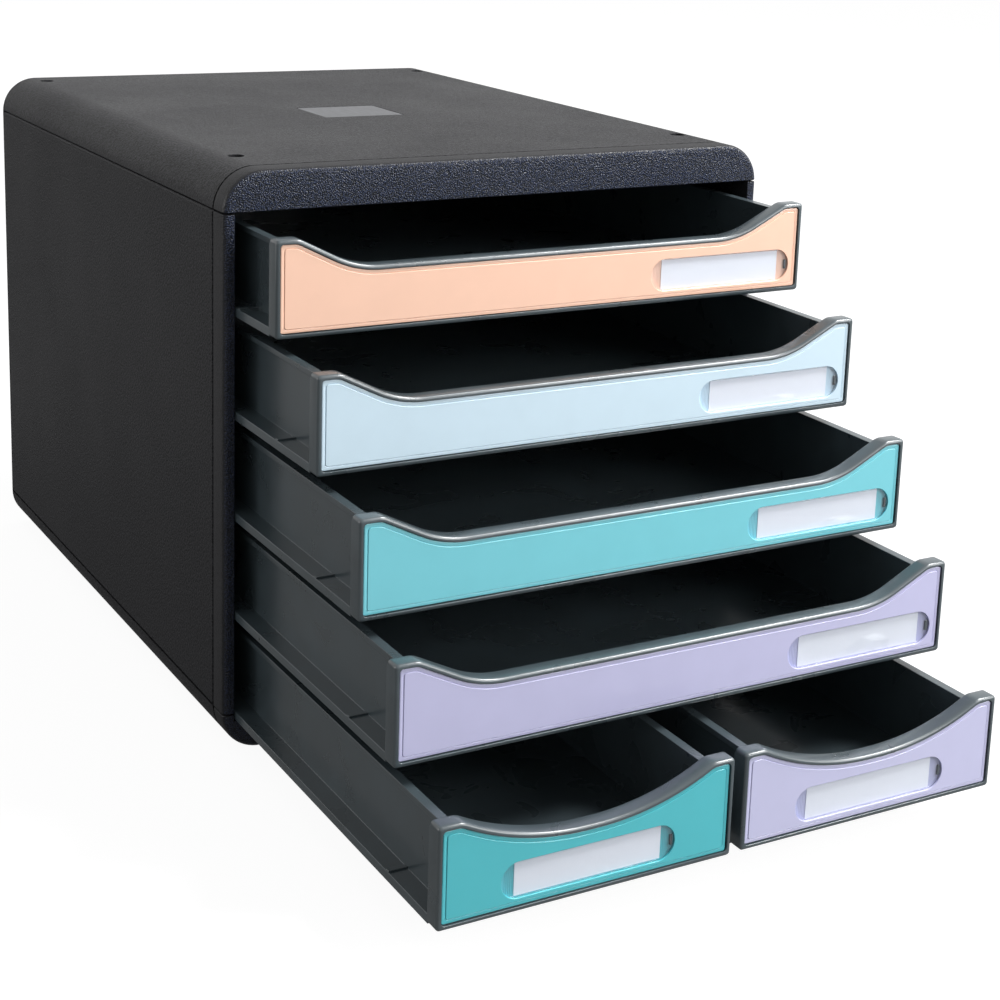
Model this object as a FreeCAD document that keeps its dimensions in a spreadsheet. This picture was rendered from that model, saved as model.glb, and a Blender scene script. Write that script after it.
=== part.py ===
import FreeCAD, Part
import math
import os
import re

# A desktop paper cabinet: a moulded case with four full-width drawers over two half-width ones.
# Frame: +X to the right, +Y to the back, +Z up, millimetres. The origin is the middle of the
# underside of the base cover, and the drawers stand open by their own amounts at rest.

os.makedirs("parts", exist_ok=True)
doc = FreeCAD.newDocument("paper_drawer_cabinet")
sheet = doc.addObject("Spreadsheet::Sheet", "Sizes")

DRIVING = {
    # case
    "case_width": 278,
    "case_depth": 347,
    "case_height": 265.5,
    "case_wall": 2.5,
    "edge_radius": 18.75,
    "ring_depth": 13,
    "front_rounding": 2.2,
    "post_width": 5.25,
    "rail_top": 15,
    "seam_chamfer": 0.7,
    # sockets on top, feet below, and the plate on top
    "socket_spacing_across": 236.2,
    "socket_from_front": 39.2,
    "socket_from_back": 17,
    "socket_radius": 3.8,
    "socket_depth": 1.6,
    "foot_radius": 3.4,
    "foot_height": 1.5,
    "foot_seat": 1.2,
    "foot_play": 0.1,
    "plaque_width": 44,
    "plaque_length": 38,
    "plaque_thickness": 0.7,
    "plaque_recess": 0.8,
    "plaque_offset_across": -4.9,
    "plaque_offset_back": -9.4,
    # drawer rows
    "low_front_bottom": 15.9,
    "low_row_pitch": 47.7,
    "row_pitch": 46.2,
    "front_play": 0.3,
    "half_front_gap": 5.2,
    # drawer fronts
    "front_tall": 41.7,
    "scoop_depth": 13.4,
    "ear_width": 10.2,
    "scoop_slope_degrees": 26.6,
    "full_scoop_radius": 45,
    "half_scoop_radius": 110,
    "frame_depth": 7.8,
    "frame_border": 2,
    "frame_web": 2,
    "frame_rounding": 1,
    "panel_recess": 0.5,
    "panel_thickness": 2.4,
    "panel_play": 0.15,
    "panel_edge": 0.4,
    # label windows
    "window_length": 77.2,
    "window_tall": 15,
    "window_depth": 1.8,
    "window_centre_up": 12.75,
    "window_from_edge": 6.25,
    "card_length": 65,
    "card_tall": 13.7,
    "card_thickness": 0.3,
    "lens_thickness": 0.9,
    "lens_play": 0.1,
    # trays
    "tray_length": 334,
    "tray_wall": 2,
    "tray_floor": 1.8,
    "tray_floor_up": 0.8,
    "flange_width": 8.25,
    "flange_tall": 4,
    "flange_thickness": 1.8,
    "tray_wall_top": 38.2,
    "rim_overhang": 2.2,
    "rim_tall": 2.4,
    "nib_from_front": 40,
    "nib_length": 2.4,
    "nib_tall": 0.7,
    # runners inside the case
    "runner_play": 0.3,
    "ledge_thickness": 2,
    "ledge_reach": 7,
    "keeper_play": 0.5,
    "keeper_thickness": 1.6,
    "keeper_reach": 3.4,
    "keeper_from_front": 48.5,
    "divider_thickness": 2,
    "divider_above_front": 2.3,
    # how far each drawer stands open at rest
    "open_first": 44.5,
    "open_second": 87,
    "open_third": 127.5,
    "open_fourth": 160.5,
    "open_left_half": 198,
    "open_right_half": 197.5,
}

DERIVED = {
    "front_face": "-case_depth / 2",
    "back_face": "case_depth / 2",
    "ring_back": "front_face + ring_depth",
    "groove_low": "edge_radius",
    "groove_high": "case_height - edge_radius",
    "opening_half": "case_width / 2 - post_width",
    "full_front_width": "2 * (opening_half - front_play)",
    "half_front_width": "(full_front_width - half_front_gap) / 2",
    "half_front_centre": "(half_front_gap + half_front_width) / 2",
    "panel_inner_face": "case_width / 2 - case_wall",
    "flange_outer": "full_front_width / 2",
    "socket_front": "front_face + socket_from_front",
    "socket_back": "back_face - socket_from_back",
    "first_bottom": "low_front_bottom + low_row_pitch + 3 * row_pitch",
    "second_bottom": "low_front_bottom + low_row_pitch + 2 * row_pitch",
    "third_bottom": "low_front_bottom + low_row_pitch + row_pitch",
    "fourth_bottom": "low_front_bottom + low_row_pitch",
    "full_window_offset": "full_front_width / 2 - window_from_edge - window_length / 2",
}

for row, (alias, value) in enumerate([*DRIVING.items(), *DERIVED.items()], start=1):
    sheet.set(f"A{row}", alias)
    sheet.setAlias(f"B{row}", alias)
for row, value in enumerate([*DRIVING.values(), *DERIVED.values()], start=1):
    sheet.set(f"B{row}", str(value) if not isinstance(value, str) else "=" + value)
doc.recompute()

ALIASES = {*DRIVING, *DERIVED}


def bound(text):
    """The text of an expression, with each size's name pointed at its cell."""
    return re.sub(r"[a-z_]+", lambda word: "Sizes." + word[0] if word[0] in ALIASES else word[0], text)


def size(alias):
    return float(sheet.get(alias))


def box(name, x, y, z):
    """A box between two expressions on each axis."""
    made = doc.addObject("Part::Box", name)
    for prop, axis, (low, high) in (("Length", "x", x), ("Width", "y", y), ("Height", "z", z)):
        made.setExpression(prop, bound(f"({high}) - ({low})"))
        made.setExpression(f"Placement.Base.{axis}", bound(low))
    return made


def pillar(name, radius, x, y, z):
    """An upright cylinder between two heights."""
    made = doc.addObject("Part::Cylinder", name)
    low, high = z
    made.setExpression("Radius", bound(radius))
    made.setExpression("Height", bound(f"({high}) - ({low})"))
    for axis, place in (("x", x), ("y", y), ("z", low)):
        made.setExpression(f"Placement.Base.{axis}", bound(place))
    return made


def fuse(name, *pieces):
    made = doc.addObject("Part::MultiFuse", name)
    made.Shapes = list(pieces)
    return made


def cut(name, base, *tools):
    made = doc.addObject("Part::Cut", name)
    made.Base = base
    made.Tool = tools[0] if len(tools) == 1 else fuse(name + "_tools", *tools)
    return made


def common(name, first, second):
    made = doc.addObject("Part::Common", name)
    made.Base = first
    made.Tool = second
    return made


def dress(kind, name, base, radius, chosen):
    """A Part::Fillet or Part::Chamfer on the edges of base that chosen() accepts."""
    doc.recompute()
    made = doc.addObject(kind, name)
    made.Base = base
    made.Edges = [(i, radius, radius) for i, edge in enumerate(base.Shape.Edges, start=1) if chosen(edge)]
    return made


def spans(edge, axis, value, slack=0.01):
    """Whether the whole edge lies at one value of an axis."""
    low = getattr(edge.BoundBox, axis + "Min")
    high = getattr(edge.BoundBox, axis + "Max")
    return abs(low - value) < slack and abs(high - value) < slack


def rounded_block(name, inset, y, radius):
    """The case's outline, drawn in by inset, between two depths, with its four long edges rounded."""
    block = box(name + "_block", (f"{inset} - case_width / 2", f"case_width / 2 - {inset}"), y,
                (inset, f"case_height - {inset}"))
    return dress("Part::Fillet", name, block, radius, lambda edge: edge.BoundBox.YLength > 0.5 * edge.Length)


ALL_ACROSS = ("-case_width", "case_width")
ABOVE_GROOVE = ("groove_high", "2 * case_height")
BELOW_GROOVE = ("-case_height", "groove_low")
INNER_RADIUS = size("edge_radius") - size("case_wall")


def cap(name, y, hollow_y, heights):
    """One end of the case's outline, above or below a groove, hollowed to the case's wall."""
    outline = rounded_block(name + "_outline", "0", y, size("edge_radius"))
    half = common(name + "_half", outline, box(name + "_side", ALL_ACROSS, y, heights))
    hollow = rounded_block(name + "_hollow", "case_wall", hollow_y, INNER_RADIUS)
    return cut(name + "_shell", half, hollow)


def grooved(name, shell, groove):
    """The V of the seams: a chamfer on the outer edges that meet the side panels and the ring."""
    outer = size("case_width") / 2
    ring = size("ring_back")

    def on_seam(edge):
        box_ = edge.BoundBox
        beside = spans(edge, "Z", groove) and (spans(edge, "X", outer) or spans(edge, "X", -outer))
        across = spans(edge, "Y", ring) and (max(abs(box_.XMax), abs(box_.XMin)) > outer - 0.01
                                             or spans(edge, "Z", 0) or spans(edge, "Z", size("case_height")))
        return beside or across

    return dress("Part::Chamfer", name, shell, size("seam_chamfer"), on_seam)


def softened_front(name, shell):
    """The rounding round the outside of the front ring."""
    front = size("front_face")
    outer = size("case_width") / 2

    def on_outline(edge):
        if not spans(edge, "Y", front):
            return False
        box_ = edge.BoundBox
        reaches_side = max(abs(box_.XMax), abs(box_.XMin)) > outer - 0.01
        return reaches_side and box_.ZLength > 1 or spans(edge, "Z", 0) or spans(edge, "Z", size("case_height"))

    return dress("Part::Fillet", name, shell, size("front_rounding"), on_outline)


pieces = []


def keep(node, made):
    """Labels a finished sub-part with its node's name."""
    made.Label = node
    pieces.append(made)
    return made


# --- Top cover: a shell with rounded long edges, four stacking sockets and a shallow recess for the plate.
SOCKETS_ACROSS = ("-socket_spacing_across / 2", "socket_spacing_across / 2")
SOCKETS_ALONG = ("socket_front", "socket_back")
CORNERS = [(x, y) for x in SOCKETS_ACROSS for y in SOCKETS_ALONG]
PLAQUE_X = ("plaque_offset_across - plaque_width / 2", "plaque_offset_across + plaque_width / 2")
PLAQUE_Y = ("plaque_offset_back - plaque_length / 2", "plaque_offset_back + plaque_length / 2")
BODY_Y = ("ring_back", "back_face - case_wall")
BODY_HOLLOW_Y = ("ring_back - case_wall", "back_face")

top_shell = cap("top", BODY_Y, BODY_HOLLOW_Y, ABOVE_GROOVE)
top_chamfered = grooved("top_seams", top_shell, size("groove_high"))
sockets = [pillar(f"socket_{i}", "socket_radius", x, y, ("case_height - socket_depth", "case_height + 1"))
           for i, (x, y) in enumerate(CORNERS)]
plaque_seat = box("plaque_seat", PLAQUE_X, PLAQUE_Y, ("case_height - plaque_recess", "case_height + 1"))
keep("top_cover", cut("top_cover_cut", top_chamfered, plaque_seat, *sockets))

# --- Plate: a thin bare rectangle set into the top cover.
keep("top_plaque", box("plaque", PLAQUE_X, PLAQUE_Y,
                       ("case_height - plaque_recess", "case_height - plaque_recess + plaque_thickness")))

# --- Base cover: the same shell turned over, with a ledge along each side for the half drawers and
# a shallow round seat for each foot.
SIDES = {"left": -1, "right": 1}


def mirrored(sign, low, high):
    """A span on the right of the middle, or the same span on the left."""
    return (low, high) if sign > 0 else (f"-({high})", f"-({low})")


base_shell = cap("base", BODY_Y, BODY_HOLLOW_Y, BELOW_GROOVE)
base_chamfered = grooved("base_seams", base_shell, size("groove_low"))
low_ledges = [box(side + "_low_ledge",
                  mirrored(sign, "flange_outer - ledge_reach", "panel_inner_face + case_wall / 5"), BODY_Y,
                  ("low_front_bottom - runner_play - ledge_thickness", "low_front_bottom - runner_play"))
              for side, sign in SIDES.items()]
foot_seats = [pillar(f"foot_seat_{i}", "foot_radius + foot_play", x, y, ("-1", "foot_seat"))
              for i, (x, y) in enumerate(CORNERS)]
keep("base_cover", cut("base", fuse("base_with_ledges", base_chamfered, *low_ledges), *foot_seats))

# --- Feet: four round studs pressed into those seats, which fit the sockets of another case.
feet = [pillar(f"foot_{i}", "foot_radius", x, y, ("-foot_height", "foot_seat"))
        for i, (x, y) in enumerate(CORNERS)]
keep("stacking_feet", fuse("feet", *feet))

# --- Rear panel: a flat plate with the case's outline, closing the back.
keep("rear_panel", rounded_block("rear", "0", ("back_face - case_wall", "back_face"), size("edge_radius")))

# --- Front ring: a visor over the drawers, two slim posts and a bottom rail, parted by the grooves.
RING_Y = ("front_face", "ring_back")
RING_HOLLOW_Y = ("front_face + case_wall", "ring_back + case_wall")
visor_shell = cap("visor", RING_Y, RING_HOLLOW_Y, ABOVE_GROOVE)
keep("front_visor", grooved("visor_seams", softened_front("visor_front", visor_shell), size("groove_high")))
rail_shell = cap("rail", RING_Y, RING_HOLLOW_Y, BELOW_GROOVE)
rail_opening = box("rail_opening", ("-opening_half", "opening_half"), ("front_face - 1", "ring_back + 1"),
                   ("rail_top", "groove_low + 1"))
rail_open = cut("rail_open", rail_shell, rail_opening)
keep("bottom_rail", grooved("rail_seams", softened_front("rail_front", rail_open), size("groove_low")))

for side, sign in SIDES.items():
    outer = sign * size("case_width") / 2
    front = size("front_face")
    ring = size("ring_back")
    post = box(side + "_post_block", mirrored(sign, "opening_half", "case_width / 2"), RING_Y,
               ("groove_low", "groove_high"))
    rounded = dress("Part::Fillet", side + "_post_rounded", post, size("front_rounding"),
                    lambda edge: spans(edge, "X", outer) and spans(edge, "Y", front))

    def post_seam(edge):
        ends = spans(edge, "Z", size("groove_low")) or spans(edge, "Z", size("groove_high"))
        return spans(edge, "X", outer) and (ends or spans(edge, "Y", ring))

    keep(side + "_front_post", dress("Part::Chamfer", side + "_post", rounded, size("seam_chamfer"), post_seam))

# --- Side panels: flat plates that carry, for each row, a ledge under the drawer's flange and a keeper over it.
ROWS = {
    "first": ("first_bottom", "open_first"),
    "second": ("second_bottom", "open_second"),
    "third": ("third_bottom", "open_third"),
    "fourth": ("fourth_bottom", "open_fourth"),
    "low": ("low_front_bottom", "open_left_half"),
}
PANEL_Y = ("ring_back", "back_face - case_wall")
KEEPER_Y = ("front_face + keeper_from_front", "back_face - case_wall")


def runners(name, sign, wall, flange, bottom):
    """A ledge and a keeper that stand out from a wall, round the flange of a drawer at this height."""
    ledge = box(name + "_ledge", mirrored(sign, f"{flange} - ledge_reach", wall), PANEL_Y,
                (f"{bottom} - runner_play - ledge_thickness", f"{bottom} - runner_play"))
    keeper = box(name + "_keeper", mirrored(sign, f"{flange} - keeper_reach", wall), KEEPER_Y,
                 (f"{bottom} + flange_tall + keeper_play",
                  f"{bottom} + flange_tall + keeper_play + keeper_thickness"))
    return [ledge, keeper]


for side, sign in SIDES.items():
    plate = box(side + "_plate", mirrored(sign, "panel_inner_face", "case_width / 2"), PANEL_Y,
                ("groove_low", "groove_high"))
    outer = sign * size("case_width") / 2
    rear = size("back_face") - size("case_wall")
    chamfered = dress("Part::Chamfer", side + "_plate_seams", plate, size("seam_chamfer"),
                      lambda edge: spans(edge, "X", outer) and not spans(edge, "Y", rear))
    ribs = []
    for row, (bottom, _) in ROWS.items():
        if row != "low":
            ribs += runners(f"{side}_{row}", sign, "panel_inner_face", "flange_outer", bottom)
    low_keeper = runners(f"{side}_low", sign, "panel_inner_face", "flange_outer", "low_front_bottom")
    ribs.append(low_keeper[1])
    keep(side + "_side_panel", fuse(side + "_side", chamfered, *ribs))
    doc.removeObject(low_keeper[0].Name)

# --- Centre divider: a slim post in the ring and a web behind it, with runners on both faces.
DIVIDER_TOP = "low_front_bottom + front_tall + divider_above_front"
divider_parts = [
    box("divider_post", ("front_play - half_front_gap / 2", "half_front_gap / 2 - front_play"), RING_Y,
        ("rail_top", DIVIDER_TOP)),
    box("divider_web", ("-divider_thickness / 2", "divider_thickness / 2"),
        ("ring_back - divider_thickness", "back_face - case_wall"), ("case_wall", DIVIDER_TOP)),
]
for side, sign in SIDES.items():
    near = "divider_thickness / 2 - 0.2"
    ledge_x = mirrored(sign, near, "half_front_gap / 2 + ledge_reach")
    keeper_x = mirrored(sign, near, "half_front_gap / 2 + keeper_reach")
    divider_parts.append(box(side + "_inner_ledge", ledge_x, PANEL_Y,
                             ("low_front_bottom - runner_play - ledge_thickness",
                              "low_front_bottom - runner_play")))
    divider_parts.append(box(side + "_inner_keeper", keeper_x, KEEPER_Y,
                             ("low_front_bottom + flange_tall + keeper_play",
                              "low_front_bottom + flange_tall + keeper_play + keeper_thickness")))
keep("centre_divider", fuse("divider", *divider_parts))


# --- Drawers ---------------------------------------------------------------------------------------------
def line(start, end):
    return Part.LineSegment(FreeCAD.Vector(start[0], 0, start[1]), FreeCAD.Vector(end[0], 0, end[1])).toShape()


def arc(centre, radius, middle, start, end):
    """A round stretch from start to end through the point at angle middle."""
    through = (centre[0] + radius * math.cos(middle), centre[1] + radius * math.sin(middle))
    points = [FreeCAD.Vector(x, 0, z) for x, z in (start, through, end)]
    return Part.Arc(*points).toShape()


def front_outline(width, radius):
    """The face of a drawer front: two flat ears, and a scoop between them that is low along the middle."""
    tall, half = size("front_tall"), width / 2
    slope = math.radians(size("scoop_slope_degrees"))
    ear = half - size("ear_width")
    low = tall - size("scoop_depth")
    widest = (ear - size("scoop_depth") / math.tan(slope)) / math.tan(slope / 2)
    radius = min(radius, 0.98 * widest)
    foot_x, foot_z = radius * math.sin(slope), low + radius * (1 - math.cos(slope))
    middle = ear - foot_x - (tall - foot_z) / math.tan(slope)
    bends = []
    for sign in (-1, 1):
        centre = (sign * middle, low + radius)
        start, end = (sign * middle, low), (sign * (middle + foot_x), foot_z)
        angle = -math.pi / 2 + sign * slope / 2
        bends.append(arc(centre, radius, angle, start, end))
    edges = [line((-half, 0), (-half, tall)), line((-half, tall), (-ear, tall)),
             line((-ear, tall), (-middle - foot_x, foot_z)), bends[0], line((-middle, low), (middle, low)),
             bends[1], line((middle + foot_x, foot_z), (ear, tall)), line((ear, tall), (half, tall)),
             line((half, tall), (half, 0)), line((half, 0), (-half, 0))]
    return Part.Face(Part.Wire(Part.__sortEdges__(edges)))


def slab(face, inset, near, far):
    """The outline drawn in by inset and given a thickness, from near to far behind the front face."""
    drawn = face.makeOffset2D(-inset, 2) if inset else face
    solid = drawn.extrude(FreeCAD.Vector(0, far - near, 0))
    solid.translate(FreeCAD.Vector(0, near, 0))
    return solid


def stadium(length, tall, near, far):
    """A round-ended plate, from near to far behind the front face, in the middle of the origin."""
    straight = (length - tall) / 2
    plate = Part.makeBox(2 * straight, far - near, tall, FreeCAD.Vector(-straight, near, -tall / 2))
    for x in (-straight, straight):
        end = Part.makeCylinder(tall / 2, far - near, FreeCAD.Vector(x, near, 0), FreeCAD.Vector(0, 1, 0))
        plate = plate.fuse(end)
    return plate.removeSplitter()


def shaped(name, shape, place):
    """A Part::Feature for a shape with curves that no primitive has."""
    made = doc.addObject("Part::Feature", name)
    made.Shape = shape
    for axis, text in zip("xyz", place):
        made.setExpression(f"Placement.Base.{axis}", bound(text))
    return made


def rounded_edges(solid, radius, chosen):
    picked = [edge for edge in solid.Edges if chosen(edge)]
    return solid.makeFillet(radius, picked)


def front_frame(width, scoop_radius):
    """The grey surround: a lip all round, a web behind the coloured panel, and a hollow back."""
    face = front_outline(width, scoop_radius)
    depth, border = size("frame_depth"), size("frame_border")
    seat = size("panel_recess") + size("panel_thickness")
    solid = slab(face, 0, 0, depth)
    solid = rounded_edges(solid, size("frame_rounding"),
                          lambda edge: spans(edge, "Y", 0) or spans(edge, "Y", depth) and edge.BoundBox.ZMin > 1)
    solid = solid.cut(slab(face, border, -1, seat))
    return solid.cut(slab(face, border, seat + size("frame_web"), depth + 1))


def colour_panel(width, scoop_radius, window_x):
    """The coloured face: set in the surround, with a round-ended pocket for the label."""
    face = front_outline(width, scoop_radius)
    near = size("panel_recess")
    far = near + size("panel_thickness")
    solid = slab(face, size("frame_border") + size("panel_play"), near, far)
    solid = rounded_edges(solid, size("panel_edge"), lambda edge: spans(edge, "Y", near))
    pocket = stadium(size("window_length"), size("window_tall"), near - 1, near + size("window_depth"))
    pocket.translate(FreeCAD.Vector(window_x, 0, size("window_centre_up")))
    return solid.cut(pocket)


def drawer(name, width_alias, scoop_alias, centre, bottom, opening, window_offset):
    """One drawer: its tray with the surround, its coloured panel, its label card and the clear lens."""
    width = size(width_alias)
    face_y = f"front_face - {opening}"
    place = (centre, face_y, bottom)
    half = f"{width_alias} / 2"
    wall_x = f"({half} - flange_width)"

    def across(low, high):
        return (f"{centre} + {low}", f"{centre} + {high}")

    def along(near, far):
        return (f"{face_y} + {near}", f"{face_y} + {far}")

    def up(low, high):
        return (f"{bottom} + {low}", f"{bottom} + {high}")

    frame = shaped(name + "_frame", front_frame(width, size(scoop_alias)), place)
    web_back = "panel_recess + panel_thickness + frame_web"
    body = box(name + "_body", across("-" + wall_x, wall_x), along(web_back + " - 0.2", "tray_length"),
               up("tray_floor_up", "tray_wall_top"))
    rim = box(name + "_rim", across(f"-{wall_x} - rim_overhang", f"{wall_x} + rim_overhang"),
              along("frame_depth - 0.2", "tray_length"), up("tray_wall_top - rim_tall", "tray_wall_top"))
    inside = box(name + "_inside", across(f"-{wall_x} + tray_wall", f"{wall_x} - tray_wall"),
                 along(web_back + " - 1", "tray_length - tray_wall"),
                 up("tray_floor_up + tray_floor", "tray_wall_top + 1"))
    shell = cut(name + "_shell", fuse(name + "_walls", body, rim), inside)
    flanges = []
    for side, sign in SIDES.items():
        def beside(low, high):
            return across(*mirrored(sign, low, high))
        flanges.append(box(f"{name}_{side}_flange", beside(f"{wall_x} - 0.2", half),
                           along("frame_depth - 0.2", "tray_length"),
                           up("flange_tall - flange_thickness", "flange_tall")))
        flanges.append(box(f"{name}_{side}_skirt", beside(f"{half} - flange_thickness", half),
                           along("frame_depth - 0.2", "tray_length"), up("0", "flange_tall")))
        flanges.append(box(f"{name}_{side}_nib", beside(f"{wall_x} - 0.2", half),
                           along("nib_from_front", "nib_from_front + nib_length"),
                           up("flange_tall - 0.2", "flange_tall + nib_tall")))
    keep(name + "_tray", fuse(name + "_tray_whole", frame, shell, *flanges))

    window_x = size(window_offset) if window_offset else 0
    panel = shaped(name + "_face", colour_panel(width, size(scoop_alias), window_x), place)
    keep(name + "_panel", panel)
    window = f"{centre} + {window_offset}" if window_offset else centre
    card_near = "panel_recess + window_depth - card_thickness"
    keep(name + "_label", box(name + "_card", (f"{window} - card_length / 2", f"{window} + card_length / 2"),
                              along(card_near, "panel_recess + window_depth"),
                              up("window_centre_up - card_tall / 2", "window_centre_up + card_tall / 2")))
    lens_far = size("panel_recess") + size("window_depth") - size("card_thickness")
    clear = 2 * size("lens_play")
    lens = stadium(size("window_length") - clear, size("window_tall") - clear,
                   lens_far - size("lens_thickness"), lens_far)
    keep(name + "_lens", shaped(name + "_window", lens, (window, face_y, f"{bottom} + window_centre_up")))


for name, row in (("top_drawer", "first"), ("second_drawer", "second"), ("third_drawer", "third"),
                  ("fourth_drawer", "fourth")):
    bottom, opening = ROWS[row]
    drawer(name, "full_front_width", "full_scoop_radius", "0", bottom, opening, "full_window_offset")
for name, centre, opening in (("left_half_drawer", "-half_front_centre", "open_left_half"),
                              ("right_half_drawer", "half_front_centre", "open_right_half")):
    drawer(name, "half_front_width", "half_scoop_radius", centre, "low_front_bottom", opening, None)

doc.recompute()

# --- Checks, then one file for each node.
for item in doc.Objects:
    if "Invalid" in item.State or "Error" in item.State:
        raise SystemExit(f"{item.Label}: {item.State}")
for piece in pieces:
    if piece.Shape.isNull() or not piece.Shape.isValid() or not piece.Shape.Solids:
        raise SystemExit(f"{piece.Label} has no valid solid")
for piece in pieces:
    piece.Shape.exportStep(f"parts/{piece.Label}.step")
    print(piece.Label, len(piece.Shape.Solids), round(piece.Shape.Volume), piece.Shape.BoundBox)
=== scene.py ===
from math import cos, pi, radians, sin, tan

import bmesh
import bpy
from mathutils import Matrix, Quaternion, Vector


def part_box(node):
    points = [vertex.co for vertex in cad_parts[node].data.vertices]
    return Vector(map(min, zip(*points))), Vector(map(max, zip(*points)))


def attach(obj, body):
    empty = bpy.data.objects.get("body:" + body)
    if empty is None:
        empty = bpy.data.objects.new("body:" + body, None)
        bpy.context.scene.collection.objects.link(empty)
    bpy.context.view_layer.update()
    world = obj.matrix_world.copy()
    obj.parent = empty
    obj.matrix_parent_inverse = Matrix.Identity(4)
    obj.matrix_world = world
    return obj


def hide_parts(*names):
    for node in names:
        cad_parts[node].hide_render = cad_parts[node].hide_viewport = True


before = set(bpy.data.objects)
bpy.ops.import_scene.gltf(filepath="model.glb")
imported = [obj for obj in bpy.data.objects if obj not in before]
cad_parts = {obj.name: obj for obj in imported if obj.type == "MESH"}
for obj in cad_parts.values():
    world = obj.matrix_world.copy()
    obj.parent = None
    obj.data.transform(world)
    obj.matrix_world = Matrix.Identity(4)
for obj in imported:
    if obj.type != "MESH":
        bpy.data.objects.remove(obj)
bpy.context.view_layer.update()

# --- Top cover -------------------------------------------------------------------------------------------
# The lid of the case: one injection-moulded ABS shell, 2.5 mm thick, flat on top and rounded down both
# sides to the seams. Its outside is spark-eroded to a fine dry grain. Four round sockets near the
# corners take the feet of a cabinet stacked on it, and a shallow seat holds the plate.
MM = 0.001
CASE_LOW, CASE_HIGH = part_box("rear_panel")
LID_LOW, LID_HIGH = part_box("top_cover")
BASE_LOW, BASE_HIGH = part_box("base_cover")
LOWER_SEAM, UPPER_SEAM = BASE_HIGH.z, LID_LOW.z
LONG_EDGE_RADIUS = CASE_HIGH.z - UPPER_SEAM
WALL = 2.5 * MM
SEAM_SOFTENING, SEAM_GAP = 0.2 * MM, 0.8 * MM
SOCKET_RADIUS, SOCKET_DEPTH = 3.8 * MM, 1.6 * MM
SAME_PLACE, PARALLEL = 1e-6, 1e-4


def linear(code):
    """An sRGB hex colour as the linear RGBA that a shader takes."""
    parts = [int(code[i:i + 2], 16) / 255 for i in (0, 2, 4)]
    return [c / 12.92 if c <= 0.04045 else ((c + 0.055) / 1.055) ** 2.4 for c in parts] + [1]


def add(tree, kind, inputs=None, **settings):
    """Adds a node with its settings; an input takes a value or another node's output."""
    made = tree.nodes.new("ShaderNode" + kind)
    for name, value in settings.items():
        setattr(made, name, value)
    for name, value in (inputs or {}).items():
        if isinstance(value, bpy.types.NodeSocket):
            tree.links.new(value, made.inputs[name])
        else:
            made.inputs[name].default_value = value
    return made


def new_material(name):
    """An empty node material and its tree."""
    made = bpy.data.materials.new(name)
    made.use_nodes = True
    made.node_tree.nodes.clear()
    return made, made.node_tree


def block(bm, low, high):
    """A box between two corners; returns its vertices."""
    low, high = Vector(low), Vector(high)
    place = Matrix.Translation((low + high) / 2) @ Matrix.Diagonal((*(high - low), 1))
    return bmesh.ops.create_cube(bm, size=1, matrix=place)["verts"]


def bevel(bm, edges, width, segments):
    """Rounds some edges of a mesh."""
    bmesh.ops.bevel(bm, geom=edges, offset=width, segments=segments, affect="EDGES", profile=0.5,
                    material=-1)


def edges_along(bm, axis):
    """The straight edges that run parallel to an axis."""
    return [e for e in bm.edges
            if abs(abs((e.verts[0].co - e.verts[1].co).normalized()[axis]) - 1) < PARALLEL]


def case_block(y_front, y_back):
    """A slice of the whole case's outline, with its four long edges rounded."""
    bm = bmesh.new()
    block(bm, (CASE_LOW.x, y_front, CASE_LOW.z), (CASE_HIGH.x, y_back, CASE_HIGH.z))
    bevel(bm, edges_along(bm, 1), LONG_EDGE_RADIUS, 14)
    return bm


def trim(bm, height, keep_above):
    """Cuts the mesh level at a height and keeps one side of it, open."""
    bmesh.ops.bisect_plane(bm, geom=[*bm.verts, *bm.edges, *bm.faces], plane_co=(0, 0, height),
                           plane_no=(0, 0, 1), clear_inner=keep_above, clear_outer=not keep_above)


def flat_faces(bm, y):
    """The faces that lie flat at a depth."""
    return [f for f in bm.faces if all(abs(v.co.y - y) < SAME_PLACE for v in f.verts)]


def open_end(bm, y):
    """Takes away the flat end at a depth."""
    bmesh.ops.delete(bm, geom=flat_faces(bm, y), context="FACES")


def piece(name, bm, body, slot, material, *nodes):
    """Turns a finished mesh into an object that rides on a body and stands for CAD nodes."""
    mesh = bpy.data.meshes.new(name)
    bm.to_mesh(mesh)
    bm.free()
    mesh.materials.append(material)
    mesh.shade_smooth()
    made = bpy.data.objects.new(name, mesh)
    bpy.context.scene.collection.objects.link(made)
    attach(made, body)
    if nodes:
        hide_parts(*nodes)
    return made


def thicken(obj, wall):
    """Gives an outside skin its wall, inwards."""
    made = obj.modifiers.new("wall", "SOLIDIFY")
    made.thickness, made.offset, made.use_even_offset = wall, -1, True


def carve(obj, bm):
    """Cuts a second mesh out of a piece, and settles its modifiers so far into its own mesh."""
    mesh = bpy.data.meshes.new("cutter")
    bmesh.ops.recalc_face_normals(bm, faces=bm.faces)
    bm.to_mesh(mesh)
    bm.free()
    cutter = bpy.data.objects.new("cutter", mesh)
    bpy.context.scene.collection.objects.link(cutter)
    cut = obj.modifiers.new("cut", "BOOLEAN")
    cut.operation, cut.solver, cut.object = "DIFFERENCE", "EXACT", cutter
    evaluated = obj.evaluated_get(bpy.context.evaluated_depsgraph_get())
    settled = bpy.data.meshes.new_from_object(evaluated)
    obj.modifiers.clear()
    settled.name = obj.data.name
    obj.data = settled
    obj.data.shade_smooth()
    bpy.data.objects.remove(cutter)


def soften(obj, width, segments=3, sharper_than=35):
    """Rounds every edge that is sharper than an angle, as a mould leaves it."""
    made = obj.modifiers.new("softened", "BEVEL")
    made.width, made.segments, made.profile = width, segments, 0.5
    made.limit_method, made.angle_limit = "ANGLE", radians(sharper_than)
    made.harden_normals = True
    made.use_clamp_overlap = True


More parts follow.
